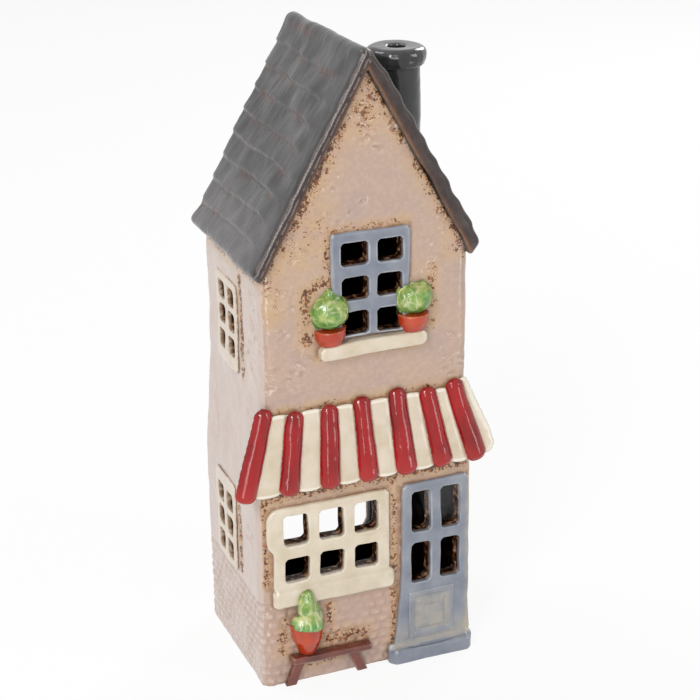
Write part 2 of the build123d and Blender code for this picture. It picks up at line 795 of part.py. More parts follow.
panel_x = (door_left + door_right - door_kick) / 2
with BuildPart() as door_panel:
    with BuildSketch(front.offset(door_proud)):
        with Locations((panel_x, (panel_foot + panel_head) / 2)):
            Rectangle(door_panel_width, door_panel_height)
    extrude(amount=door_panel_proud)
    with BuildSketch(front.offset(door_proud + door_panel_proud)):
        with Locations((panel_x, (panel_foot + panel_head) / 2)):
            Rectangle(door_panel_width - 2 * door_panel_border, door_panel_height - 2 * door_panel_border)
            Rectangle(field_width, field_height, mode=Mode.SUBTRACT)
    extrude(amount=-door_panel_sunk, mode=Mode.SUBTRACT)
    with BuildSketch(front.offset(door_proud)):
        with Locations((panel_x, (panel_foot + panel_head) / 2)):
            Rectangle(field_width, field_height)
    extrude(amount=field_proud)
    with BuildSketch(front.offset(door_proud + field_proud)):
        with Locations((panel_x, (panel_foot + panel_head) / 2)):
            Rectangle(field_width - 2 * field_border, field_height - 2 * field_border)
    extrude(amount=-field_sunk, mode=Mode.SUBTRACT)
write(door_panel, "door_panel")

# Bench against the wall, with a potted plant
bench_underside = bench_height - bench_thickness
with BuildPart() as bench_seat:
    with BuildSketch(front):
        with Locations(((bench_left + bench_right) / 2, bench_height - bench_thickness / 2)):
            Rectangle(bench_right - bench_left, bench_thickness)
    extrude(amount=bench_depth)
    fillet(bench_seat.faces().sort_by(Axis.Y)[0].edges(), bench_round)
write(bench_seat, "bench_seat")

leg_tops = (("left", bench_left + left_leg_inset, -1), ("right", bench_right - right_leg_inset, 1))
for side_name, leg_x, outward in leg_tops:
    foot_x = leg_x + outward * leg_splay
    with BuildPart() as bench_leg:
        with BuildSketch(front):
            with BuildLine():
                Polyline(
                    (leg_x - leg_width / 2, bench_underside), (leg_x + leg_width / 2, bench_underside),
                    (foot_x + leg_width / 2, 0), (foot_x - leg_width / 2, 0), close=True,
                )
            make_face()
        extrude(amount=leg_depth)
    write(bench_leg, f"bench_leg_{side_name}")

bench_pot = flower_pot(bench_pot_x, bench_height, bench_pot_top, bench_pot_bottom, bench_pot_height, [])
write(bench_pot, "bench_pot")

plant_base = bench_height + bench_pot_height
plant_y = front_y - shop_sill_depth
with BuildPart() as bench_plant:
    plant_profile = [
        (0, plant_foot), (plant_neck_rise, plant_width), (plant_height - plant_shoulder_drop, plant_width),
        (plant_height - plant_crown_drop, plant_crown), (plant_height, plant_tip),
    ]
    root = Vector(bench_pot_x, plant_y, plant_base)
    add(turned(level_at(*root), plant_profile, pot_sides).part)
    for tip_x, tip_z in ((-arm_spread_left, arm_left_rise), (arm_spread_right, arm_right_rise)):
        arm = Vector(tip_x, 0, tip_z)
        arm_base = Plane(origin=root, x_dir=arm.cross(Vector(0, 1, 0)), z_dir=arm)
        arm_profile = [(0, arm_width), (arm.length, arm_width), (arm.length + arm_bevel, arm_tip)]
        add(turned(arm_base, arm_profile, arm_sides).part)
    split(bisect_by=Plane.XY.offset(plant_base), keep=Keep.TOP)
    split(bisect_by=front.offset(shop_sill_depth), keep=Keep.TOP)
write(bench_plant, "bench_plant")

# Cream frames of the two windows in the left wall
for level_name, face, levels, cells in (
    ("upper", left_upper, side_upper_levels, side_upper_panes),
    ("lower", left_lower, side_lower_levels, side_lower_panes),
):
    side_left = -side_window_y - side_window_width / 2
    side_frame = window(
        face, box_corners(side_left, side_left + side_window_width, *levels),
        [plate_corner] * 4, side_window_proud, cells,
    )
    write(side_frame, f"left_{level_name}_window_frame")
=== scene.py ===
import math

import bmesh
import bpy
import numpy as np
from mathutils import Matrix, Vector


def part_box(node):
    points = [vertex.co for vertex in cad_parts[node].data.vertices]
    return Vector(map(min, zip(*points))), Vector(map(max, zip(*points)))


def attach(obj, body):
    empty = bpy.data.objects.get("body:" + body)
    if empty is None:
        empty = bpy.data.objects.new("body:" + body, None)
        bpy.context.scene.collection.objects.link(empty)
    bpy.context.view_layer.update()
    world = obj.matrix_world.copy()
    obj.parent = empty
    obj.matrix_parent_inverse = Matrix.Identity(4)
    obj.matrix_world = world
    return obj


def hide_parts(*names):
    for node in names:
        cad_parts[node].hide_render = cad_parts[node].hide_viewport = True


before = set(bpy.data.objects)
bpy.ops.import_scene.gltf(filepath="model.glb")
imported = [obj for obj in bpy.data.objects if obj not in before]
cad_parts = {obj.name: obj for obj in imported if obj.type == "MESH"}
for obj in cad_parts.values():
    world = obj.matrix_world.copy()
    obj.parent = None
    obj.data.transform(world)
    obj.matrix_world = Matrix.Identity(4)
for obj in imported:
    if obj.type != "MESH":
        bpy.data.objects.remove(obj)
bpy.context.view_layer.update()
MM = 0.001
scene = bpy.context.scene

# Places and sizes on the house in millimetres, as in the solids
FRONT_Y = -32.0  # outer face of the front wall
SIDE_X, SHOP_X = 40.0, 43.0  # half widths of the upper storey and of the shop
STOREY_Z, FLARE_Z = 114.0, 76.0  # the walls widen between these heights
EAVE_Z = 162.7
PITCH = math.radians(60.5)
SLAB, EAVE_REACH = 4.8, 3.5  # thickness of a roof slab, and how far its eave passes the wall
AWNING_TOP, AWNING_FOOT = 112.0, 82.0
SILL_TOP, STEP_TOP = 41.7, 6.0  # of the shop window's sill and of the door step

# Places and sizes that only the glazed skins have
SPLIT_Y = 24.0  # the walls' skin is divided into front, sides and back at this depth
CORNER = 4.0  # radius of the walls' corners
BRICK_Z, COURSE, BRICK = 35.0, 3.5, 4.9  # head of the brickwork, height of a course, length of a brick
BRICK_END_X = 12.6  # where the front's bricks stop, at the door
REAR_HALF, REAR_FOOT, REAR_SPRING = 26.0, 22.5, 69.5  # rust round the rear opening, just outside its edge
SLATE_COURSE, SLOPE_LENGTH = 9.23, 83.0
STRIP_START, STRIP_GAIN = 3.3, 0.5  # a cream strip's start from a rib's middle, and its gain down to the foot
PANEL_X, PANEL_Z = 25.2, 19.0  # middle of the door's panel


# Noise and mesh helpers, all in millimetres

CELLS = 32
LATTICE = np.random.default_rng(11).random((CELLS, CELLS, CELLS))


def noise(points, size, seed=0):
    """Smooth noise from -1 to 1 at the points, with features of the given size."""
    place = points / size + 7.31 * (seed + 1)
    cell = np.floor(place).astype(int)
    part = place - cell
    part = part * part * (3 - 2 * part)
    total = np.zeros(len(points))
    for corner in np.ndindex(2, 2, 2):
        weight = np.prod(np.where(corner, part, 1 - part), axis=1)
        at = (cell + corner) % CELLS
        total += weight * LATTICE[at[:, 0], at[:, 1], at[:, 2]]
    return 2 * total - 1


def ramp01(values, low, high):
    """0 at low, 1 at high, smooth between."""
    share = np.clip((values - low) / (high - low), 0, 1)
    return share * share * (3 - 2 * share)


def along(points, a, b):
    """Distance of 2-D points from the segment a-b."""
    a, b = np.array(a, float), np.array(b, float)
    share = np.clip(((points - a) @ (b - a)) / ((b - a) @ (b - a)), 0, 1)
    return np.linalg.norm(points - a - share[:, None] * (b - a), axis=1)


def outside(points, left, right, foot, head):
    """Distance of 2-D points from a rectangle, 0 within it."""
    dx = np.maximum(np.maximum(left - points[:, 0], points[:, 0] - right), 0)
    dz = np.maximum(np.maximum(foot - points[:, 1], points[:, 1] - head), 0)
    return np.hypot(dx, dz)


def height_share(p, low, high):
    """0 at the foot of a box, 1 at its head."""
    return (p[:, 2] - low[2]) / (high[2] - low[2])


def read(mesh, what="co"):
    """Places or normals of a mesh's vertices."""
    values = np.empty(len(mesh.vertices) * 3)
    mesh.vertices.foreach_get(what, values)
    values = values.reshape(-1, 3)
    return values / MM if what == "co" else values


def write(mesh, places):
    mesh.vertices.foreach_set("co", (places * MM).ravel())
    mesh.update()


def neighbours_mean(mesh, values):
    """Mean of each vertex's neighbours, column by column."""
    pairs = np.empty(len(mesh.edges) * 2, int)
    mesh.edges.foreach_get("vertices", pairs)
    a, b = pairs.reshape(-1, 2).T
    size = len(mesh.vertices)
    count = np.maximum(np.bincount(a, minlength=size) + np.bincount(b, minlength=size), 1)
    columns = values.reshape(size, -1).T
    means = [np.bincount(a, c[b], size) + np.bincount(b, c[a], size) for c in columns]
    return (np.array(means) / count).T.reshape(values.shape)


def wobble(p):
    """Shift places sideways and in height by one smooth field, so that nothing is quite straight."""
    shift = 0.45 * np.column_stack([noise(p, 17, 50), 0 * p[:, 1], noise(p, 17, 51)])
    shift += 0.16 * np.column_stack([noise(p, 6, 52), 0 * p[:, 1], noise(p, 6, 53)])
    return p + shift * ramp01(p[:, 2], 0, 9)[:, None]


def paint(mesh, name, values):
    """Store one number per vertex for the materials."""
    layer = mesh.attributes.get(name) or mesh.attributes.new(name, "FLOAT", "POINT")
    layer.data.foreach_set("value", np.asarray(values, np.float32))


def mark_edges(mesh, rounds=2):
    """How strongly each vertex stands out (above 0) or lies in a hollow (below 0)."""
    places = read(mesh)
    bend = ((places - neighbours_mean(mesh, places)) * read(mesh, "normal")).sum(1)
    for _ in range(rounds):
        bend = neighbours_mean(mesh, bend)
    paint(mesh, "edge", bend)


def new_object(name, mesh):
    piece = bpy.data.objects.new(name, mesh)
    scene.collection.objects.link(piece)
    return piece


def soften(name, nodes, voxel, smooth, edit=None):
    """One mesh from CAD nodes, with its edges rounded as glaze rounds them."""
    whole = bmesh.new()
    for node in nodes:
        one = bmesh.new()
        one.from_mesh(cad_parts[node].data)
        bmesh.ops.remove_doubles(one, verts=one.verts, dist=1e-6)
        if edit:
            edit(one, node)
        shape = bpy.data.meshes.new("shape")
        one.to_mesh(shape)
        one.free()
        whole.from_mesh(shape)
        bpy.data.meshes.remove(shape)
    mesh = bpy.data.meshes.new(name)
    whole.to_mesh(mesh)
    whole.free()
    piece = new_object(name, mesh)
    cells = piece.modifiers.new("cells", "REMESH")
    cells.mode = "VOXEL"
    cells.voxel_size = voxel * MM
    soft = piece.modifiers.new("soft", "SMOOTH")
    soft.factor = 0.5
    soft.iterations = smooth
    bpy.context.view_layer.update()
    final = bpy.data.meshes.new_from_object(piece.evaluated_get(bpy.context.evaluated_depsgraph_get()))
    piece.modifiers.clear()
    piece.data = final
    final.name = name
    bpy.data.meshes.remove(mesh)
    return piece


def divide(piece, shares):
    """Split a mesh by face middles into named pieces."""
    mesh = piece.data
    places = read(mesh)
    quads = np.empty(len(mesh.loops), int)
    mesh.loops.foreach_get("vertex_index", quads)
    quads = quads.reshape(-1, 4)
    bend = np.empty(len(mesh.vertices), np.float32)
    mesh.attributes["edge"].data.foreach_get("value", bend)
    middles = places[quads].mean(1)
    made = {}
    for name, chosen in shares(middles).items():
        own = quads[chosen]
        used, faces = np.unique(own, return_inverse=True)
        part = bpy.data.meshes.new(name)
        part.from_pydata((places[used] * MM).tolist(), [], faces.reshape(-1, 4).tolist())
        paint(part, "edge", bend[used])
        made[name] = new_object(name, part)
    bpy.data.objects.remove(piece)
    return made


def dress(piece, slot, nodes):
    """Smooth shading, the glaze named by the slot and the body, with the CAD nodes that the piece stands for
    hidden.
    """
    mesh = piece.data
    mesh.polygons.foreach_set("use_smooth", np.ones(len(mesh.polygons), bool))
    if "edge" not in mesh.attributes:
        mark_edges(mesh)
    mesh.materials.clear()
    mesh.materials.append(GLAZES[slot])
    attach(piece, "root")
    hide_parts(*nodes)


# Materials

def rgb(r, g, b):
    """Linear colour from 0-255 display values."""
    shares = [v / 255 for v in (r, g, b)]
    return tuple(v / 12.92 if v <= 0.04045 else ((v + 0.055) / 1.055) ** 2.4 for v in shares) + (1.0,)


class Glaze:
    """A glaze material under construction: small helpers that add nodes and hand back their sockets."""

    def __init__(self, name, rough, coat, shine=0.5):
        self.coat, self.shine = coat, shine
        self.material = bpy.data.materials.new(name)
        self.material.use_nodes = True
        self.tree = self.material.node_tree
        self.shader = self.tree.nodes["Principled BSDF"]
        self.shader.inputs["Coat Weight"].default_value = coat
        self.shader.inputs["Specular IOR Level"].default_value = shine
        self.shader.inputs["Coat Roughness"].default_value = 0.05
        self.place = self.tree.nodes.new("ShaderNodeTexCoord").outputs["Object"]
        uneven = self.tree.nodes.new("ShaderNodeMapRange")
        uneven.inputs["To Min"].default_value = rough - 0.07
        uneven.inputs["To Max"].default_value = rough + 0.1
        self.tree.links.new(self.grain(5), uneven.inputs["Value"])
        self.tree.links.new(uneven.outputs["Result"], self.shader.inputs["Roughness"])

    def link(self, value, socket):
        if isinstance(value, bpy.types.NodeSocket):
            self.tree.links.new(value, socket)
        else:
            socket.default_value = value

    def grain(self, size, detail=3.0, stretch=None):
        """Noise from 0 to 1 with features of a size in mm."""
        node = self.tree.nodes.new("ShaderNodeTexNoise")
        node.inputs["Scale"].default_value = 1 / (size * MM)
        node.inputs["Detail"].default_value = detail
        place = self.place
        if stretch:
            mapping = self.tree.nodes.new("ShaderNodeMapping")
            mapping.inputs["Scale"].default_value = stretch
            self.tree.links.new(place, mapping.inputs["Vector"])
            place = mapping.outputs["Vector"]
        self.tree.links.new(place, node.inputs["Vector"])
        return node.outputs["Fac"]

    def mask(self, name):
        node = self.tree.nodes.new("ShaderNodeAttribute")
        node.attribute_name = name
        return node.outputs["Fac"]

    def math(self, kind, a, b):
        node = self.tree.nodes.new("ShaderNodeMath")
        node.operation = kind
        self.link(a, node.inputs[0])
        self.link(b, node.inputs[1])
        return node.outputs[0]

    def between(self, value, low, high):
        """0 at low and 1 at high, smooth between."""
        node = self.tree.nodes.new("ShaderNodeMapRange")
        node.interpolation_type = "SMOOTHSTEP"
        self.link(value, node.inputs["Value"])
        self.link(low, node.inputs["From Min"])
        self.link(high, node.inputs["From Max"])
        return node.outputs["Result"]

    def dull(self, amount):
        """Take the shine away where a mask is strong, as on clay without a glaze."""
        rest = self.math("SUBTRACT", 1.0, self.math("MULTIPLY", amount, 0.9))
        self.link(self.math("MULTIPLY", rest, self.coat), self.shader.inputs["Coat Weight"])
        self.link(self.math("MULTIPLY", rest, self.shine), self.shader.inputs["Specular IOR Level"])

    def ramp(self, value, stops):
        node = self.tree.nodes.new("ShaderNodeValToRGB")
        self.link(value, node.inputs["Fac"])
        band = node.color_ramp
        while len(band.elements) < len(stops):
            band.elements.new(1.0)
        for element, (at, colour) in zip(band.elements, stops):
            element.position = at
            element.color = rgb(*colour)
        return node.outputs["Color"]

    def mix(self, share, a, b):
        node = self.tree.nodes.new("ShaderNodeMix")
        node.data_type = "RGBA"
        self.link(share, node.inputs[0])
        self.link(a, node.inputs[6])
        self.link(rgb(*b) if isinstance(b, tuple) else b, node.inputs[7])
        return node.outputs[2]

    def tint(self, base, amount, strength, colour):
        """Mix a colour into the base by a mask times a strength."""
        return self.mix(self.math("MULTIPLY", amount, strength), base, colour)

    def specks(self, amount, size, reach):
        """Specks of a size in mm that come where a mask is strong."""
        low = self.math("SUBTRACT", 0.72, self.math("MULTIPLY", amount, reach))
        dots = self.between(self.grain(size, 4.0), low, self.math("ADD", low, 0.05))
        return self.math("MULTIPLY", dots, self.between(amount, 0.02, 0.16))

    def rusted(self, base, amount):
        """Iron specks that break through a glaze."""
        patchy = self.math("MULTIPLY", amount, self.between(self.grain(4.5), 0.22, 0.55))
        base = self.tint(base, patchy, 0.45, (188, 140, 90))
        brown = self.ramp(self.grain(1.6, 4.0), [
            (0.36, (60, 31, 15)), (0.5, (110, 61, 28)), (0.62, (156, 95, 46)), (0.74, (190, 136, 80)),
        ])
        base = self.mix(self.specks(patchy, 1.3, 0.25), base, brown)
        return self.mix(self.specks(patchy, 0.6, 0.2), base, (80, 44, 22))

    def finish(self, colour, bumps):
        self.tree.links.new(colour, self.shader.inputs["Base Color"])
        normal = None
        for height, strength, depth in bumps:
            node = self.tree.nodes.new("ShaderNodeBump")
            node.inputs["Strength"].default_value = strength
            node.inputs["Distance"].default_value = depth * MM
            self.tree.links.new(height, node.inputs["Height"])
            if normal:
                self.tree.links.new(normal, node.inputs["Normal"])
            normal = node.outputs["Normal"]
        self.tree.links.new(normal, self.shader.inputs["Normal"])
        return self.material


def wall_glaze():
    g = Glaze("wall_glaze", 0.2, 0.35)
    base = g.ramp(g.grain(22), [
        (0.32, (171, 147, 137)), (0.5, (177, 151, 135)), (0.68, (181, 153, 134)),
    ])
    base = g.tint(base, g.between(g.grain(1.5), 0.4, 0.7), 0.3, (196, 172, 153))
    # Painted light: the left wall is painted paler, as if it were lit more than the front
    base = g.tint(base, g.mask("painted_light"), 0.8, (198, 180, 170))
    warm = g.math("MULTIPLY", g.mask("tan"), g.between(g.grain(6), 0.25, 0.65))
    base = g.tint(base, warm, 0.65, (190, 160, 120))
    base = g.tint(base, g.mask("mortar"), 0.5, (168, 136, 124))
    # Darker in hollows: partly glaze pooling, partly painted shade. Paler on raised edges: partly glaze
    # thinning, partly painted highlight
    base = g.tint(base, g.between(g.mask("edge"), -0.015, -0.085), 0.5, (156, 122, 100))
    base = g.tint(base, g.between(g.mask("edge"), 0.018, 0.085), 0.6, (222, 205, 190))
    seam = g.math("MULTIPLY", g.mask("seam"), g.between(g.grain(2.5), 0.3, 0.55))
    base = g.tint(base, seam, 0.65, (140, 98, 62))
    base = g.rusted(base, g.mask("rust"))
    inside = g.ramp(g.grain(5), [(0.3, (12, 7, 5)), (0.6, (28, 16, 10)), (0.8, (62, 36, 20))])
    base = g.mix(g.mask("inside"), base, inside)
    g.dull(g.mask("inside"))
    return g.finish(base, [(g.grain(2.4), 0.25, 0.3)])


def slate_glaze():
    g = Glaze("slate_glaze", 0.26, 0.0, 0.35)
    base = g.ramp(g.grain(12), [
        (0.30, (56, 55, 56)), (0.5, (69, 67, 68)), (0.7, (84, 82, 83)),
    ])
    # Painted sheen: the lower part of each slope is painted paler, standing in for reflected light
    base = g.tint(base, g.mask("painted_light"), 0.5, (116, 113, 113))
    fine = g.between(g.grain(1.7, 4.0, (0.25, 1.0, 0.15)), 0.42, 0.58)
    base = g.tint(base, g.math("MULTIPLY", g.mask("streak"), fine), 0.9, (84, 56, 51))
    # Darker under the slates' butts: partly glaze pooling, partly painted shade. Paler on their raised edges:
    # partly glaze thinning, partly painted highlight
    base = g.tint(base, g.between(g.mask("edge"), -0.004, -0.05), 0.6, (58, 54, 54))
    base = g.tint(base, g.between(g.mask("edge"), 0.006, 0.06), 0.4, (134, 132, 133))
    base = g.tint(base, g.mask("verge"), 0.5, (60, 58, 58))
    barge = g.ramp(g.grain(4), [(0.3, (50, 42, 40)), (0.7, (70, 60, 57))])
    barge = g.tint(barge, g.mask("low"), 0.7, (84, 54, 45))
    # Painted highlights: a dashed paler line along the barge's groove and a paler line along its rim
    groove_highlight = g.math("MULTIPLY", g.mask("groove_highlight"), g.between(g.grain(2.2), 0.4, 0.55))
    barge = g.tint(barge, groove_highlight, 0.6, (168, 148, 138))
    base = g.mix(g.mask("barge"), base, barge)
    base = g.tint(base, g.mask("rim"), 0.65, (176, 166, 162))
    base = g.rusted(base, g.mask("rust"))
    return g.finish(base, [(g.grain(3), 0.15, 0.3), (g.grain(1.7, 4.0, (0.25, 1.0, 0.15)), 0.2, 0.3)])


def plain_glaze(name, dark, mid, light, rim, hollow, rough, coat):
    """A glaze that varies a little, darker in hollows (partly glaze pooling, partly painted shade) and paler
    towards a rim colour on edges (partly glaze thinning, partly painted highlight).
    """
    g = Glaze(name, rough, coat)
    base = g.ramp(g.grain(8), [(0.3, dark), (0.5, mid), (0.7, light)])
    # Painted light: frames on the left wall are painted paler, as if they were lit more
    base = g.tint(base, g.mask("painted_light"), 0.6, (208, 192, 178))
    base = g.tint(base, g.mask("worn"), g.between(g.grain(5), 0.15, 0.65), (172, 162, 142))
    # Hollows darker, partly painted shade; raised edges paler, partly painted highlight
    base = g.tint(base, g.between(g.mask("edge"), -0.008, -0.06), 0.8, hollow)
    base = g.tint(base, g.between(g.mask("edge"), 0.008, 0.05), 0.85, rim)
    seam = g.math("MULTIPLY", g.mask("seam"), g.between(g.grain(2.0), 0.35, 0.55))
    base = g.tint(base, seam, 0.75, (132, 92, 58))
    inside = g.ramp(g.grain(2.2, 5.0), [
        (0.36, (22, 12, 8)), (0.5, (58, 32, 19)), (0.58, (112, 76, 50)), (0.72, (188, 158, 130)),
    ])
    base = g.mix(g.mask("inside"), base, inside)
    g.dull(g.mask("inside"))
    base = g.rusted(base, g.mask("rust"))
    return g.finish(base, [(g.grain(2.5), 0.12, 0.25)])


def red_glaze():
    g = Glaze("red_glaze", 0.1, 0.0)
    base = g.ramp(g.grain(6, 3.0, (1.0, 1.0, 0.25)), [
        (0.3, (116, 0, 3)), (0.5, (144, 2, 4)), (0.7, (160, 8, 8)),
    ])
    base = g.tint(base, g.mask("low"), 0.5, (170, 44, 38))
    # Paler on the ribs' crowns: partly glaze thinning, partly painted highlight
    base = g.tint(base, g.between(g.mask("edge"), 0.03, 0.12), 0.3, (200, 96, 86))
    return g.finish(base, [(g.grain(4, 2.0, (1.0, 1.0, 0.2)), 0.08, 0.25)])


def leaf_glaze():
    g = Glaze("leaf_glaze", 0.18, 0.45)
    base = g.ramp(g.grain(4.0), [
        (0.34, (84, 128, 48)), (0.48, (114, 150, 60)), (0.6, (154, 168, 84)), (0.72, (182, 186, 112)),
    ])
    vein = g.math("MULTIPLY", g.mask("vein"), g.between(g.grain(3.0), 0.4, 0.62))
    base = g.tint(base, vein, 0.8, (212, 212, 164))
    base = g.tint(base, g.mask("low"), 0.7, (60, 134, 58))
    # Paler on raised leaf edges: partly glaze thinning, partly painted highlight
    base = g.tint(base, g.between(g.mask("edge"), 0.03, 0.1), 0.5, (196, 206, 146))
    return g.finish(base, [(g.grain(1.5), 0.2, 0.3)])


# Colours of the plain glazes: dark, middle, light, rim (partly painted highlight), hollow (partly painted
# shade)
PLAIN = {
    "cream_glaze": ((196, 181, 155), (206, 193, 172), (213, 202, 183), (228, 220, 205), (166, 140, 104)),
    "blue_glaze": ((112, 119, 132), (126, 131, 142), (138, 142, 150), (192, 194, 194), (98, 106, 120)),
    "terracotta_glaze": ((158, 42, 14), (172, 54, 20), (186, 68, 30), (206, 128, 96), (118, 30, 16)),
    "charcoal_glaze": ((36, 36, 37), (46, 46, 46), (56, 55, 55), (96, 95, 95), (24, 23, 23)),
    "bench_glaze": ((78, 30, 20), (100, 44, 30), (118, 56, 40), (172, 122, 104), (50, 19, 13)),
    "inner_glaze": ((12, 8, 6), (24, 14, 10), (44, 26, 17), (70, 46, 32), (10, 6, 4)),
}
# Roughness and coat of a plain glaze, and of those that differ from it
USUAL_GLOSS = (0.2, 0.3)
OWN_GLOSS = {"charcoal_glaze": (0.15, 0.1), "bench_glaze": (0.2, 0.6)}
GLAZES = {
    "wall_glaze": wall_glaze(),
    "slate_glaze": slate_glaze(),
    "red_glaze": red_glaze(),
    "leaf_glaze": leaf_glaze(),
}
for name, colours in PLAIN.items():
    GLAZES[name] = plain_glaze(name, *colours, *OWN_GLOSS.get(name, USUAL_GLOSS))


# Walls: one skin over the four slabs, divided again where they meet

SIDE_END, SIDE_LAP = 26.5, 2.0  # depth beyond which a side wall is made longer, and by how much


def lap_sides(one, node):
    """Let the side walls run a little into the front and the back, so that the skin closes over them."""
    if node in ("left_wall", "right_wall"):
        for v in one.verts:
            if abs(v.co.y) > SIDE_END * MM:
                v.co.y += math.copysign(SIDE_LAP * MM, v.co.y)


def half_width(z):
    """Half the width of the walls at a height."""
    return SIDE_X + (SHOP_X - SIDE_X) * np.clip((STOREY_Z - z) / (STOREY_Z - FLARE_Z), 0, 1)


def shell(p):
    """Distance outside the walls' outline with rounded corners, and the direction out of it."""
    reach = np.column_stack([half_width(p[:, 2]), np.full(len(p), -FRONT_Y)]) - CORNER
    past = np.abs(p[:, :2]) - reach
    corner = np.maximum(past, 0)
    length = np.linalg.norm(corner, axis=1)
    flat = np.where(past[:, :1] > past[:, 1:], [1.0, 0.0], [0.0, 1.0])
    out = np.where(length[:, None] > 1e-6, corner / np.maximum(length, 1e-6)[:, None], flat)
    far = np.where(length > 1e-6, length, past.max(1)) - CORNER
    return far, np.column_stack([out * np.sign(p[:, :2]), np.zeros(len(p))])


def bricks(p, on_front, on_left, on_right):
    """How deep a place lies in the joints between small rounded bricks: 1 in a joint, 0 on a brick."""
    z = p[:, 2] + 0.5 * noise(p, 5, 22)
    drift = 0.9 * noise(p, 6, 21)
    course = np.floor(z / COURSE).astype(int)
    down = np.mod(z, COURSE)
    joint = np.zeros(len(p))
    on_shop = on_front & (p[:, 0] < BRICK_END_X)
    faces = ((on_shop, p[:, 0], 3), (on_left, -p[:, 1], 5), (on_right, p[:, 1], 8))
    for where, u, seed in faces:
        stagger = BRICK * (course % 2 / 2 + 0.4 * LATTICE[course % CELLS, seed, 0])
        across = np.mod(u + drift - stagger, BRICK)
        side = np.minimum(across, BRICK - across) + 0.01
        level = np.minimum(down, COURSE - down) + 0.01
        near = 1 / np.sqrt(side ** -2 + level ** -2)
        np.maximum(joint, ramp01(near, 1.0, 0.1) * where, out=joint)
    return joint * (p[:, 2] < BRICK_Z + 0.6) * (0.55 + 0.45 * ramp01(noise(p, 7, 23), -0.5, 0.2))


# Rough patches of stucco: middle and reach on the front (x, z) and on the left wall (y, z)
FRONT_PATCHES = [
    (0, 217, 8), (3, 210, 7), (11, 211, 5), (-12, 201, 5), (-16, 194, 5), (-5, 185, 5), (-16, 183, 7),
    (-25, 172, 6), (26, 168, 5), (24, 160, 4), (32, 128, 5), (36, 119, 4), (-34, 126, 6), (-28, 123, 6),
    (-25, 130, 5), (-35, 157, 7), (-26, 154, 5), (-33, 142, 5), (30, 178, 4),
]
LEFT_PATCHES = [(-23, 145, 6), (-21, 153, 5), (-28, 139, 5), (-19, 130, 6), (-20, 108, 5), (-22, 60, 6)]
# Raised wrinkles on the left wall (y, z)
LEFT_WRINKLES = [
    ((22, 98), (17.5, 93)), ((17.5, 93), (15, 86)), ((22, 88), (22.5, 83)), ((20, 104), (22, 98)),
]
# Crusts of rust along the front edges of the left windows (y, z) and the edge of the rear opening (x, z)
LEFT_CRUST = [((-9.4, 157), (-10.0, 120)), ((-9.4, 66), (-9.8, 40))]
REAR_ARCH = [
    (math.cos(a) * REAR_HALF, REAR_SPRING + math.sin(a) * REAR_HALF) for a in np.linspace(0, math.pi, 9)
]
REAR_OUTLINE = [(REAR_HALF, REAR_FOOT)] + REAR_ARCH + [(-REAR_HALF, REAR_FOOT), (REAR_HALF, REAR_FOOT)]
REAR_EDGE = list(zip(REAR_OUTLINE, REAR_OUTLINE[1:]))


def dents(p, where, axis, patches, seed):
    """Small uneven dents with raised lips, scattered over the patches."""
    rng = np.random.default_rng(seed)
    chosen = np.flatnonzero(where)
    stray = np.column_stack([noise(p[chosen], 1.8, seed), noise(p[chosen], 1.8, seed + 1)])
    at = p[chosen][:, [axis, 2]] + 0.6 * stray
    lift = np.zeros(len(p))
    for u, z, reach in patches:
        for _ in range(int(1.5 * reach)):
            middle = np.array([u, z]) + rng.normal(size=2) * reach * 0.5
            turn = rng.uniform(-0.9, 0.9)
            wide, tall, deep = rng.uniform(1.0, 3.0), rng.uniform(0.5, 1.2), rng.uniform(0.2, 0.55)
            near = np.flatnonzero(np.abs(at - middle).max(1) < 4.5)
            d = at[near] - middle
            a = (d[:, 0] * math.cos(turn) + d[:, 1] * math.sin(turn)) / wide
            b = (d[:, 1] * math.cos(turn) - d[:, 0] * math.sin(turn)) / tall
            q = np.hypot(a, b)
            lift[chosen[near]] += deep * (0.35 * np.exp(-((q - 1.3) / 0.35) ** 2) - ramp01(q, 1.2, 0.3))
    return np.clip(lift, -0.7, 0.4)


walls = soften("walls", ["front_wall", "back_wall", "left_wall", "right_wall"], 0.6, 2, lap_sides)
skin = walls.data
p = read(skin)
far, out = shell(p)
filled = (far > 0) | ((far > -1.2) & (p[:, 2] < BRICK_Z + 1.2))
write(skin, p - out * (far * filled)[:, None])
p = read(skin)
n = read(skin, "normal")
outer = shell(p)[0] > -1.5
on_front = outer & (n[:, 1] < -0.5)
on_left = outer & (n[:, 0] < -0.5)
on_right = outer & (n[:, 0] > 0.5)
lift = (0.25 * noise(p, 16) + 0.14 * noise(p, 6, 1) + 0.05 * noise(p, 2.5, 2)) * outer
lift += dents(p, on_front, 0, FRONT_PATCHES, 41) + 0.6 * dents(p, on_left, 1, LEFT_PATCHES, 42)
for a, b in LEFT_WRINKLES:
    lift += 0.3 * ramp01(along(p[:, 1:], a, b), 1.3, 0.1) * on_left
for a, b in LEFT_CRUST:
    crust = ramp01(along(p[:, 1:], a, b) + 0.8 * noise(p, 4, 30), 1.8, 0.5) * on_left
    lift += crust * (0.7 * noise(p, 1.4, 31) - 0.25)
lift -= 0.5 * bricks(p, on_front, on_left, on_right)
write(skin, wobble(p + n * lift[:, None]))
mark_edges(skin)


def wall_shares(m):
    """Which wall each face middle belongs to."""
    front, back = m[:, 1] < -SPLIT_Y, m[:, 1] > SPLIT_Y
    side = ~front & ~back
    return {"glazed_front_wall": front, "glazed_back_wall": back,
            "glazed_left_wall": side & (m[:, 0] < 0), "glazed_right_wall": side & (m[:, 0] > 0)}


# Outlines of what sits on the front, where glaze gathers: left, right, foot, head
ON_FRONT = [
    (-13.9, 16.3, 137, 176.8),  # upper window
    (-19.6, 22, 131.8, 137.2),  # upper sill
    (-40.4, 8, 41.7, 75),  # shop window
    (-38.6, 9.6, 33.5, 41.7),  # its sill
    (12, 41, 0, 75),  # door
    (7.6, 42.4, 0, 6),  # door step
    (-43.5, 40, 112, 112.1),  # upper edge of the awning
    (-32.4, -0.4, 9.3, 12.2),  # bench
]
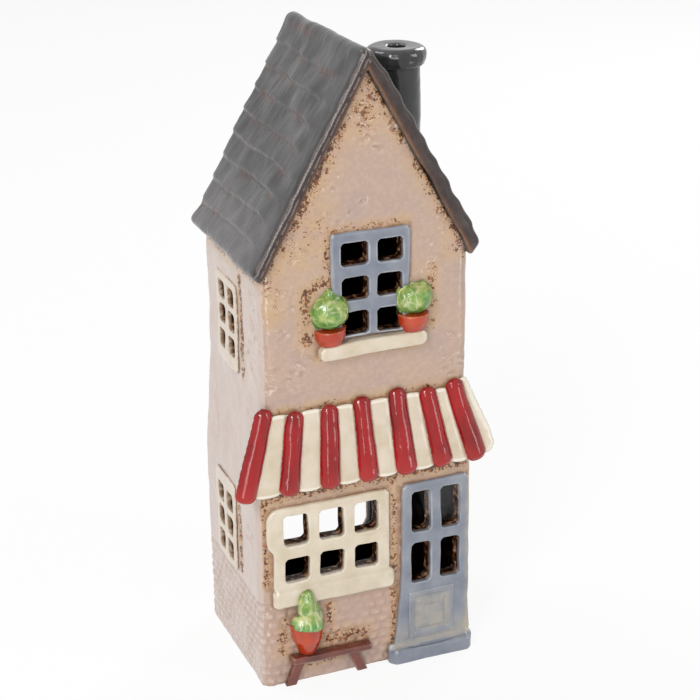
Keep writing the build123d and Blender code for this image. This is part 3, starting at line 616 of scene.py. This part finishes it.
# Rust on the front: from and to (x, z), reach, strength
FRONT_RUST = [
    # Under the roof
    ((-40, 163), (-1, 232), 6.5, 1.05), ((1, 232), (40, 163), 4.5, 0.95),
    ((-41, 163), (-1.5, 233), 2.4, 1.35), ((1.5, 233), (41, 163), 1.6, 1.2),
    ((0, 216), (0, 232), 7, 0.8), ((-24, 172), (-20, 182), 8, 0.45),
    ((-36, 168), (-36, 150), 5, 0.4), ((34, 166), (35, 172), 5, 0.5),
    # Round the upper window, its pots and its sill
    ((-14, 178), (15, 178), 2.2, 0.6), ((-14.6, 176), (-15, 160), 2.6, 0.8),
    ((-22.6, 138), (-22.6, 156), 4.2, 0.95), ((-15, 160), (-20, 158), 3.0, 0.9),
    ((24.5, 138), (25, 158), 3.2, 0.85), ((-19, 131), (22, 131), 1.8, 0.75),
    # Over and under the awning, beside the shop window and the door
    ((-40, 113), (40, 113), 2.0, 0.45), ((-41, 79.8), (42, 79.8), 3.8, 1.0),
    ((-41.8, 78), (-41, 44), 2.4, 1.0), ((10.2, 76), (10.2, 3), 2.0, 0.95),
    # Round the bench
    ((-18, 16), (-2, 15), 4.4, 0.9), ((-35, 14), (-34, 27), 3.2, 0.85),
    ((-16.5, 30), (-16, 18), 2.8, 0.85), ((-26, 6), (-10, 7), 2.0, 0.7),
]


def wall_masks(mesh):
    """Where the wall glaze breaks to rust and tan, and where the dark inside starts."""
    p = read(mesh)
    xz = p[:, [0, 2]]
    yz = p[:, [1, 2]]
    half = half_width(p[:, 2])
    on_front = p[:, 1] < FRONT_Y + 1
    on_left = (p[:, 0] < -half + 1.2) & ~on_front
    on_right = p[:, 0] > half - 1.2
    on_back = p[:, 1] > -FRONT_Y - 1.2
    under_roof = (EAVE_Z - p[:, 2]) * math.cos(PITCH) + (SIDE_X - np.abs(p[:, 0])) * math.sin(PITCH)
    inside = ramp01(shell(p)[0], -1.1, -1.8) * ramp01(under_roof, 1.0, 2.5)
    rust = np.zeros(len(p))
    tan = np.zeros(len(p))

    def streak(a, b, reach, strength, plane=xz, where=on_front):
        far = along(plane, a, b)
        np.maximum(rust, strength * ramp01(far, 1.3 * reach, 0.1 * reach) * where, out=rust)
        np.maximum(tan, ramp01(far, 1.9 * reach, 0.3 * reach) * where, out=tan)

    for a, b, reach, strength in FRONT_RUST:
        streak(a, b, reach, strength)
    for a, b in LEFT_CRUST:
        streak(a, b, 2.4, 1.3, yz, on_left)
    for where in (on_left, on_right):
        streak((-28, 161.5), (28, 161.5), 2.8, 0.95, yz, where)
    streak((-40, 163), (-1, 232), 3.5, 0.7, xz, on_back)
    streak((1, 232), (40, 163), 3.5, 0.7, xz, on_back)
    for a, b in REAR_EDGE:
        streak(a, b, 2.4, 0.75, xz, on_back)
    seam = ramp01(EAVE_Z - p[:, 2], 2.0, 0) * on_left
    for edges in ON_FRONT:
        np.maximum(seam, ramp01(outside(xz, *edges), 1.5, 0.2) * on_front, out=seam)
    paint(mesh, "inside", inside)
    paint(mesh, "rust", rust)
    paint(mesh, "tan", tan)
    paint(mesh, "seam", seam)
    paint(mesh, "mortar", bricks(p, on_front, on_left, on_right))
    # Painted light: the whole left wall is marked to be painted paler
    paint(mesh, "painted_light", on_left)


for name, piece in divide(walls, wall_shares).items():
    wall_masks(piece.data)
    dress(piece, "wall_glaze", [name.replace("glazed_", "")])


# Roof: soft slate courses, brushed under each butt, with a dark plain verge and a grooved barge face that
# carries painted highlight lines along its groove and its rim

EAVE_TIP = np.array([SIDE_X + EAVE_REACH, EAVE_Z - EAVE_REACH * math.tan(PITCH) + SLAB / math.cos(PITCH)])
UP_SLOPE = np.array([-math.cos(PITCH), math.sin(PITCH)])
OUT_OF_SLOPE = np.array([math.sin(PITCH), math.cos(PITCH)])
BARGE_Y = -33.0  # the barge face lies in front of this
GROOVE_UP, RIM_UP = 1.9, 3.4  # heights of the painted highlight lines along its groove and its rim


def on_slope(p):
    """Distance up the slope from the eave tip, and height over the slope's upper plane."""
    from_tip = np.column_stack([np.abs(p[:, 0]), p[:, 2]]) - EAVE_TIP
    return from_tip @ UP_SLOPE, from_tip @ OUT_OF_SLOPE


def in_course(p, up):
    """Share of the way from a course's lower edge to the next one, on uneven lines."""
    return np.mod((up + 0.9 * noise(p, 15, 14) + 0.35 * noise(p, 5, 15)) / SLATE_COURSE, 1)


def roof_shares(m):
    """Which slope each face middle belongs to."""
    return {"slate_slope_left": m[:, 0] < 0, "slate_slope_right": m[:, 0] >= 0}


roof = soften("roof", ["roof_slab_left", "roof_slab_right"], 0.5, 9)
mesh = roof.data
p = read(mesh)
up, high = on_slope(p)
share = in_course(p, up)
butts = share - ramp01(share, 0.78, 1.0)
plain = ramp01(p[:, 1], -16, -29) * (0.8 + 0.2 * noise(p, 8, 16))
profile = -0.1 - 1.3 * (1 - plain) * (butts - 0.3) * ramp01(up, SLOPE_LENGTH, SLOPE_LENGTH - 10)
laid = ramp01(high, -1.8, -1.2) * ramp01(up, 0.5, 3.0) * ramp01(up, SLOPE_LENGTH, SLOPE_LENGTH - 3)
laid *= ramp01(p[:, 1], -34.6, -32.0) * ramp01(p[:, 1], 36 + up * 0.04, 32 + up * 0.04)
swell = (0.9 + 0.2 * np.cos(2 * math.pi * share)) * (p[:, 0] > 0) * ramp01(p[:, 1], -24, -31)
swell = swell * ramp01(high, -4.6, -1.6) * ramp01(up, SLOPE_LENGTH, SLOPE_LENGTH - 12) * ramp01(up, 0, 9)
shift = laid * (profile - high) + swell
side = np.sign(p[:, 0])
p = p + np.column_stack([side * OUT_OF_SLOPE[0] * shift, np.zeros(len(p)), OUT_OF_SLOPE[1] * shift])
write(mesh, p)
n = read(mesh, "normal")
lift = 0.45 * noise(p, 9, 3) + 0.1 * noise(p, 4, 4) + 0.06 * noise(p * [0.3, 1.2, 0.2], 1.4, 5)
lift += 0.45 * ramp01(up, 7, 1)
write(mesh, wobble(p + n * lift[:, None]))
mark_edges(mesh, 1)
for name, piece in divide(roof, roof_shares).items():
    mesh = piece.data
    p = read(mesh)
    n = read(mesh, "normal")
    up, high = on_slope(p)
    patch = ramp01(noise(p, 10, 12), -0.35, 0.15)
    over = ramp01(high, -2.4, -1.4)
    brushed = ramp01(in_course(p, up), 0.5, 0.85) * patch * over * ramp01(p[:, 1], -26, -18)
    paint(mesh, "streak", brushed * np.where(p[:, 0] < 0, 1.0, 0.6))
    paint(mesh, "verge", ramp01(p[:, 1], -20, -31))
    # Painted sheen: paler towards the eave
    paint(mesh, "painted_light", ramp01(up + 5 * noise(p, 14, 18), 34, 6))
    face = ramp01(-n[:, 1], 0.5, 0.8) * (p[:, 1] < BARGE_Y)
    above = high + SLAB
    wave = 0.35 * noise(p, 7, 13) + 0.15 * noise(p, 2.5, 17)
    paint(mesh, "barge", face)
    paint(mesh, "low", ramp01(above, 2.0, 0.4))
    paint(mesh, "rust", 0.7 * ramp01(above, 1.2, 0.0) * face)
    # Painted highlights along the barge's groove and rim
    groove_highlight = ramp01(np.abs(above - GROOVE_UP + wave), 0.3, 0.08)
    rim = ramp01(np.abs(above - RIM_UP + wave), 0.26, 0.08)
    paint(mesh, "groove_highlight", groove_highlight * face * (p[:, 0] < 1))
    paint(mesh, "rim", rim * (p[:, 1] < BARGE_Y) * (p[:, 0] < 1))
    dress(piece, "slate_glaze", [name.replace("slate_slope", "roof_slab")])


# Everything that sits on the walls and the roof

# Middle of each awning rib at its top and at its foot
RIB_X = [
    (-40.3, -49.0), (-28.6, -32.5), (-15.6, -16.5), (-2.9, -1.1), (11.0, 13.5), (23.1, 28.3), (33.7, 42.1),
]
RIBS = [f"awning_rib_{i}" for i in range(1, 8)]


def leaves(p, middle, seed, count, stretch):
    """Ridges between the leaves of a plant: 1 on a ridge, 0 in a hollow."""
    points = np.random.default_rng(seed).normal(size=(count, 3))
    points *= 7.0 / np.linalg.norm(points, axis=1)[:, None]
    warped = p - middle + np.column_stack([noise(p, 4, seed + i) for i in range(3)]) * 1.3
    gaps = np.linalg.norm((warped * stretch)[:, None, :] - points[None], axis=2)
    gaps.partition(1, axis=1)
    return np.exp(-(gaps[:, 1] - gaps[:, 0]) / 0.4)


def awning_fall(p):
    """0 just over the awning's upper edge, 1 at its foot."""
    return np.clip((AWNING_TOP + 2 - p[:, 2]) / (AWNING_TOP + 2 - AWNING_FOOT), 0, 1)


def flutes(p):
    """Rounded cream strips between the ribs of the awning."""
    fall = awning_fall(p)
    edges = []
    for top, foot in RIB_X:
        middle = top + (foot - top) * fall
        half = STRIP_START + STRIP_GAIN * fall
        edges.append((middle - half, middle + half))
    rise = np.zeros(len(p))
    ends = edges[1:] + [(39.4 + 10.4 * fall, None)]
    for (_, start), (end, _) in zip(edges, ends):
        share = (p[:, 0] - start) / (end - start)
        within = (share > 0) & (share < 1)
        rise = np.where(within, np.sqrt(np.clip(1 - (2 * share - 1) ** 2, 0, 1)), rise)
    return rise


def end_flare(p):
    """How far the right end of the awning spreads past its last rib."""
    fall = awning_fall(p)
    top, foot = RIB_X[-1]
    edge = top + (foot - top) * fall + STRIP_START + STRIP_GAIN * fall
    spread = np.interp(fall, [0, 0.3, 0.6, 0.85, 1], [0, 1.4, 2.5, 2.1, 0.6])
    return spread * ramp01(p[:, 0], edge - 1, edge + 2)


def round_bush(p, low, high):
    """Draw a bush out towards a ball, except at its tip and against the wall."""
    middle = np.array([(low[0] + high[0]) / 2, high[1], low[2] + 6.4])
    reach = np.array([7.3, 7.1, 6.6])
    out = (p - middle) / reach
    size = np.linalg.norm(out, axis=1)
    ball = middle + out / np.maximum(size, 0.3)[:, None] * reach
    near = 0.9 * ramp01(size, 0.5, 0.75) * (p[:, 1] < high[1] - 0.3)
    tip = np.hypot(p[:, 0] - middle[0], p[:, 2] - high[2])
    near *= ramp01(tip, 1.2, 3.0)
    return p + near[:, None] * (ball - p)


def collar(p, low, high):
    """Glaze that fills the joint between the chimney and the slates."""
    out = p[:, :2] - (low + high)[:2] / 2
    far = np.linalg.norm(out, axis=1)
    reach = 1.5 * ramp01(on_slope(p)[1], 3.4, -0.4) ** 2 * (far > 0.38 * (high - low)[0])
    return p + np.column_stack([out / far[:, None] * reach[:, None], np.zeros(len(p))])


def widest(share, far, levels=24):
    """Greatest distance at each share of the height, read off smoothly."""
    most = np.zeros(levels)
    np.maximum.at(most, np.clip((share * levels).astype(int), 0, levels - 1), far)
    most = np.convolve(np.pad(most, 1, mode="edge"), [0.25, 0.5, 0.25], mode="valid")
    return np.interp(share, (np.arange(levels) + 0.5) / levels, most)


def tuft(p, low, high, middle):
    """Draw the plant to a tapering tuft whose lowest leaves spread over the pot's rim."""
    levels = [0, 0.15, 0.3, 0.5, 0.7, 0.88, 1.0]
    left = [6.7, 6.9, 5.0, 4.3, 4.0, 2.8, 1.0]
    right = [6.7, 6.6, 6.1, 4.8, 3.7, 2.6, 1.2]
    share = height_share(p, low, high)
    far = p[:, 0] - middle[0]
    for side, reaches in ((-1, left), (1, right)):
        aim = np.interp(share, levels, reaches)
        now = widest(share, np.maximum(far * side, 0))
        factor = np.clip(aim / np.maximum(now, 0.5), 0.6, 1.3)
        far = np.where(far * side > 0, far * factor, far)
    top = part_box("bench_plant")[1][2] / MM
    return np.column_stack([middle[0] + far, p[:, 1], low[2] + share * (top - low[2])])


def throw_round(mesh):
    """A pot's side as round as a wheel makes it."""
    p = read(mesh)
    low, high = p.min(0), p.max(0)
    axis = np.array([(low[0] + high[0]) / 2, low[1] + (high[0] - low[0]) / 2])
    out = p[:, :2] - axis
    far = np.maximum(np.linalg.norm(out, axis=1), 0.1)
    out /= far[:, None]
    side = ramp01((read(mesh, "normal")[:, :2] * out).sum(1), 0.5, 0.8)
    share = height_share(p, low, high)
    reach = side * (widest(share, far * (side > 0.5)) - far)
    write(mesh, p + np.column_stack([out * reach[:, None], np.zeros(len(p))]))


def hang(p):
    """The upper sill and what stands on it lean a little to the left."""
    return p - np.column_stack([0 * p[:, 0], 0 * p[:, 0], 1.3 * np.clip((22 - p[:, 0]) / 41.6, 0, 1)])


def run_down(p):
    """Glaze that has run down the door, gathered on its step and rounded the step's ends."""
    x, y, z = p.T
    rise = 1.4 * ramp01(y, -35.6, -33.9) ** 2 * ramp01(z, 3.5, 6.0) * ramp01(z, 10.5, 6.2)
    pool = 0.5 * ramp01(np.hypot((x - 24) / 12, (y + 35.5) / 0.9), 1.0, 0.4)
    pool = pool * ramp01(z, 4.5, 5.8) * ramp01(z, 7.5, 6.5)
    end = ramp01(np.abs(x - 25) / 17.4, 0.84, 1.0) * ramp01(y, -33.8, -35.8) * ramp01(z, 9, 6.5)
    return np.column_stack([x, y + 1.1 * end, z + rise - pool - 0.9 * end * ramp01(z, 2, 6)])


FOOT_LAP, BACK_LAP = 1.5, 1.0


def lap_down(one, node):
    """Let pieces run a little into what carries them, so that one skin closes over them."""
    if node in ("shop_window_frame", "shop_door"):
        foot = min(v.co.z for v in one.verts)
        for v in one.verts:
            if v.co.z < foot + 1e-5:
                v.co.z -= FOOT_LAP * MM
    if node == "door_panel":
        back = max(v.co.y for v in one.verts)
        for v in one.verts:
            if v.co.y > back - 1e-5:
                v.co.y += BACK_LAP * MM


def uneven(mesh):
    """A hand-made surface."""
    p = read(mesh)
    lift = 0.16 * noise(p, 7, 5) + 0.05 * noise(p, 2.5, 6)
    write(mesh, wobble(p + read(mesh, "normal") * lift[:, None]))


# Node, voxel size, rounds of smoothing and slot. What is joined to a frame takes the frame's own values.
SOFT = [
    ("chimney_stack", 0.5, 8, "charcoal_glaze"),
    ("chimney_cap", 0.45, 8, "charcoal_glaze"),
    ("awning_canopy", 0.45, 4, "cream_glaze"),
    ("upper_window_frame", 0.35, 4, "blue_glaze"),
    ("upper_window_sill", 0.35, 6, "cream_glaze"),
    ("upper_pot_left", 0.3, 8, "terracotta_glaze"),
    ("upper_pot_right", 0.3, 8, "terracotta_glaze"),
    ("upper_bush_left", 0.28, 8, "leaf_glaze"),
    ("upper_bush_right", 0.28, 8, "leaf_glaze"),
    ("shop_window_frame", 0.35, 6, "cream_glaze"),
    ("shop_window_sill", None, None, "cream_glaze"),
    ("shop_door", 0.32, 9, "blue_glaze"),
    ("door_panel", None, None, "blue_glaze"),
    ("door_step", None, None, "blue_glaze"),
    ("bench_seat", 0.3, 7, "bench_glaze"),
    ("bench_leg_left", 0.3, 5, "bench_glaze"),
    ("bench_leg_right", 0.3, 5, "bench_glaze"),
    ("bench_pot", 0.3, 8, "terracotta_glaze"),
    ("bench_plant", 0.4, 45, "leaf_glaze"),
    ("left_upper_window_frame", 0.3, 9, "cream_glaze"),
    ("left_lower_window_frame", 0.3, 9, "cream_glaze"),
] + [(rib, 0.32, 8, "red_glaze") for rib in RIBS]
# A frame and what is joined to it are softened as one and divided again
JOINED = {"shop_window_frame": ["shop_window_sill"], "shop_door": ["door_panel", "door_step"]}


def joined_shares(m, node):
    """Which of the joined pieces each face middle belongs to."""
    if node == "shop_window_frame":
        sill = m[:, 2] < SILL_TOP
        return {"glazed_shop_window_sill": sill, "glazed_shop_window_frame": ~sill}
    step = m[:, 2] < STEP_TOP
    panel = (m[:, 1] < -33.75) & (np.abs(m[:, 0] - PANEL_X) < 9.5) & (np.abs(m[:, 2] - PANEL_Z) < 10.2)
    return {"glazed_door_step": step, "glazed_door_panel": panel, "glazed_shop_door": ~step & ~panel}


def grow_leaves(mesh, node, p, low, high):
    """Outline and veined leaves of a bush or of the bench plant."""
    ball = "bush" in node
    middle = np.array([(low[0] + high[0]) / 2, high[1], (low[2] + high[2]) / 2])
    p = round_bush(p, low, high) if ball else tuft(p, low, high, middle)
    write(mesh, p)
    ridge = leaves(p, middle, 31 + len(node), 60, [1, 1, 1] if ball else [1.6, 1.6, 0.22])
    paint(mesh, "vein", ridge if ball else np.clip(1.5 * ridge ** 0.6, 0, 1))
    lift = 0.35 * noise(p, 3.2, 7) + 0.28 * ridge - 0.2
    return p + read(mesh, "normal") * lift[:, None]


def flute_canopy(mesh, p):
    """Swell the canopy's strips, scallop its edges and spread its right end."""
    n = read(mesh, "normal")
    rise = flutes(p)
    p = p + n * (ramp01(-n[:, 1], 0.5, 0.9) * rise * 0.7)[:, None]
    p[:, 2] -= 0.5 * (1 - rise) * (ramp01(p[:, 2], 107, 112) - ramp01(p[:, 2], 86, 82))
    p[:, 0] += end_flare(p)
    return p


def soft_masks(mesh, node, p, low, high):
    """What the glazes need to know about a piece."""
    on_left = node.startswith("left_")
    paint(mesh, "low", ramp01(height_share(p, low, high), 0.32, 0.02))
    inward = p[:, 1] - FRONT_Y
    if on_left:
        inward = p[:, 0] + (SHOP_X if "lower" in node else SIDE_X)
        # Painted light: a frame on the left wall is marked to be painted paler
        paint(mesh, "painted_light", np.ones(len(p)))
    if "frame" in node or node == "shop_door":
        start = 0.1 if on_left else -0.3
        paint(mesh, "inside", ramp01(inward, start, start + 1.2))
    if "chimney" not in node:
        paint(mesh, "seam", ramp01(inward, -0.7, -0.1))
    if node == "shop_door":
        paint(mesh, "worn", 0.8 * ramp01(p[:, 0], 38.5, 41) + 0.6 * ramp01(p[:, 2], 18, 8))
    if node == "door_panel":
        border = np.maximum(np.abs(p[:, 0] - PANEL_X), np.abs(p[:, 2] - PANEL_Z))
        paint(mesh, "worn", 0.15 + 0.45 * ramp01(border, 8.6, 6.4))


pieces = {}
for node, voxel, smooth, slot in SOFT:
    if node in JOINED:
        both = soften(node + "_joined", [node] + JOINED[node], voxel, smooth, lap_down)
        uneven(both.data)
        if node == "shop_door":
            write(both.data, run_down(read(both.data)))
        mark_edges(both.data)
        pieces.update(divide(both, lambda m: joined_shares(m, node)))
    elif "glazed_" + node not in pieces:
        piece = soften("glazed_" + node, [node], voxel, smooth)
        if slot == "terracotta_glaze":
            throw_round(piece.data)
        uneven(piece.data)
        pieces["glazed_" + node] = piece
for node, _, _, slot in SOFT:
    piece = pieces["glazed_" + node]
    mesh = piece.data
    p = read(mesh)
    low, high = p.min(0), p.max(0)
    if slot == "leaf_glaze":
        p = grow_leaves(mesh, node, p, low, high)
    if node == "awning_canopy":
        p = flute_canopy(mesh, p)
    if node == "chimney_stack":
        p = collar(p, low, high)
    if node in RIBS:
        p = p + 0.3 * read(mesh, "normal")
    if node.startswith("upper_") and node != "upper_window_frame":
        p = hang(p)
    write(mesh, p)
    soft_masks(mesh, node, p, low, high)
    dress(piece, slot, [node])

floor_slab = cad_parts["floor_slab"]
floor_slab.data.materials.clear()
floor_slab.data.materials.append(GLAZES["inner_glaze"])


# Floor, light and camera

WHITE = (1, 1, 1, 1)


def show_white(tree, plain, white, surface, strength):
    """Show white in place of the plain shader to rays from the camera, off gloss and through glass."""
    path = tree.nodes.new("ShaderNodeLightPath")
    factor = path.outputs["Is Camera Ray"]
    for name in ("Is Glossy Ray", "Is Transmission Ray"):
        either = tree.nodes.new("ShaderNodeMath")
        either.operation = "MAXIMUM"
        tree.links.new(factor, either.inputs[0])
        tree.links.new(path.outputs[name], either.inputs[1])
        factor = either.outputs[0]
    share = tree.nodes.new("ShaderNodeMath")
    share.operation = "MULTIPLY"
    share.inputs[1].default_value = strength
    blend = tree.nodes.new("ShaderNodeMixShader")
    tree.links.new(factor, share.inputs[0])
    tree.links.new(share.outputs[0], blend.inputs["Fac"])
    tree.links.new(plain.outputs[0], blend.inputs[1])
    tree.links.new(white.outputs[0], blend.inputs[2])
    tree.links.new(blend.outputs[0], surface.inputs["Surface"])


bpy.ops.mesh.primitive_plane_add(size=8)
ground = bpy.context.object
ground.name = "ground"
paper = bpy.data.materials.new("paper")
paper.use_nodes = True
nodes = paper.node_tree.nodes
nodes["Principled BSDF"].inputs["Base Color"].default_value = (0.9, 0.9, 0.9, 1)
nodes["Principled BSDF"].inputs["Roughness"].default_value = 0.9
white = nodes.new("ShaderNodeEmission")
white.inputs["Color"].default_value = WHITE
# The rest of 1 keeps the object's shadow
show_white(paper.node_tree, nodes["Principled BSDF"], white, nodes["Material Output"], 0.88)
ground.data.materials.append(paper)

world = bpy.data.worlds.new("studio")
scene.world = world
world.use_nodes = True
nodes = world.node_tree.nodes
nodes["Background"].inputs["Color"].default_value = WHITE
nodes["Background"].inputs["Strength"].default_value = 0.3
behind = nodes.new("ShaderNodeBackground")
behind.inputs["Color"].default_value = WHITE
behind.inputs["Strength"].default_value = 1.0
show_white(world.node_tree, nodes["Background"], behind, nodes["World Output"], 1.0)


def lamp(name, place, target, size, power):
    """A rectangular lamp that the camera doesn't see."""
    data = bpy.data.lights.new(name, "AREA")
    data.shape = "RECTANGLE"
    data.size, data.size_y = size
    data.energy = power
    light = bpy.data.objects.new(name, data)
    scene.collection.objects.link(light)
    light.visible_camera = False
    light.location = place
    light.rotation_euler = (Vector(target) - Vector(place)).to_track_quat("-Z", "Y").to_euler()


# The two small low lamps draw the thin lines of light on the awning's ribs
lamp("key", (-0.75, -0.8, 1.0), (0, 0, 0.12), (0.3, 0.45), 7.5)
lamp("strip", (-0.62, -0.9, 0.36), (0, 0, 0.12), (0.3, 0.66), 3.2)
lamp("card", (-0.2, -0.36, 0.035), (0, -0.035, 0.1), (0.07, 0.06), 0.085)
lamp("low_card", (0.25, -0.32, 0.045), (0.03, -0.035, 0.1), (0.06, 0.06), 0.055)
lamp("fill", (0.9, -0.9, 0.6), (0, 0, 0.12), (0.25, 0.6), 3.0)
lamp("back", (0.9, 0.75, 0.75), (0, 0, 0.12), (0.4, 0.5), 6.1)
lamp("top", (-0.5, 0.5, 1.2), (0, 0, 0.15), (0.5, 0.5), 4.7)

# The camera that was fitted to the house's corners: pixels, millimetres, degrees
FOCAL, PHOTO_WIDTH, SENSOR = 1754.0, 700, 36
CAMERA_AT = (-223.5, -569.4, 368.5)
YAW, TILT, ROLL = math.radians(21.966), math.radians(22.176), math.radians(-0.526)
ahead = Vector((math.sin(YAW) * math.cos(TILT), math.cos(YAW) * math.cos(TILT), -math.sin(TILT)))
right = Vector((math.cos(YAW), -math.sin(YAW), 0))
up = right.cross(ahead)
turned_right = math.cos(ROLL) * right + math.sin(ROLL) * up
turned_up = -math.sin(ROLL) * right + math.cos(ROLL) * up
camera_data = bpy.data.cameras.new("camera")
camera_data.sensor_width = SENSOR
camera_data.sensor_fit = "HORIZONTAL"
camera_data.lens = FOCAL / PHOTO_WIDTH * SENSOR
camera_data.clip_start = 0.01
camera = bpy.data.objects.new("camera", camera_data)
scene.collection.objects.link(camera)
camera.matrix_world = Matrix.Translation(Vector(CAMERA_AT) * MM) @ Matrix(
    (turned_right, turned_up, -ahead)).transposed().to_4x4()
scene.camera = camera
scene.view_settings.view_transform = "Standard"
